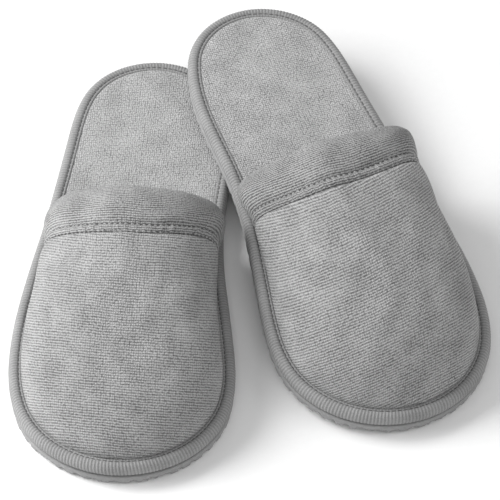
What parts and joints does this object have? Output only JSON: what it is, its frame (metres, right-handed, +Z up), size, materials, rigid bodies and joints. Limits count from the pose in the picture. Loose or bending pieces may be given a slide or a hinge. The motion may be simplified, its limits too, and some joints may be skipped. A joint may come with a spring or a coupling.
{
  "type": "spa slippers",
  "caption": "Pair of closed-toe terry slippers with padded vamp, stitched puffy cuff, ribbed edge binding and a thin grooved sole; one heel rests on the other.",
  "frame": {"origin": "on the floor, under the middle of the pair's bounding box", "axes": "+Z up, toes towards -Y, heels towards +Y; the right slipper lies straight along Y on the -X side, the left one is turned beside it with its heel on the right one's heel"},
  "size_m": [0.2368, 0.2986, 0.0652],
  "materials": {
    "sole_rubber": "matt moulded foam rubber",
    "board": "pressed fibre board",
    "foam": "soft open foam",
    "insole_terry": "short looped terry",
    "binding_tape": "ribbed woven tape",
    "thread": "matt sewing thread",
    "upper_terry": "knitted terry with fine ribs",
    "cuff_terry": "knitted terry with fine ribs",
    "lining_cloth": "plain knitted lining"
  },
  "bodies": {
    "right_slipper": {"right_outsole": "sole_rubber", "right_insole_board": "board", "right_insole_foam": "foam", "right_insole_cover": "insole_terry", "right_edge_binding": "binding_tape", "right_binding_stitches": "thread", "right_upper_shell": "upper_terry", "right_upper_foam": "foam", "right_upper_lining": "lining_cloth", "right_cuff_cover": "cuff_terry", "right_cuff_foam": "foam", "right_hem_stitches_front": "thread", "right_hem_stitches_rear": "thread"},
    "left_slipper": {"left_outsole": "sole_rubber", "left_insole_board": "board", "left_insole_foam": "foam", "left_insole_cover": "insole_terry", "left_edge_binding": "binding_tape", "left_binding_stitches": "thread", "left_upper_shell": "upper_terry", "left_upper_foam": "foam", "left_upper_lining": "lining_cloth", "left_cuff_cover": "cuff_terry", "left_cuff_foam": "foam", "left_hem_stitches_front": "thread", "left_hem_stitches_rear": "thread"}
  },
  "joints": [
    {"name": "left_slipper_lift", "type": "slide", "parent": "right_slipper", "child": "left_slipper", "axis": [0, 0, 1], "range_m": [0, 0.1]}
  ]
}
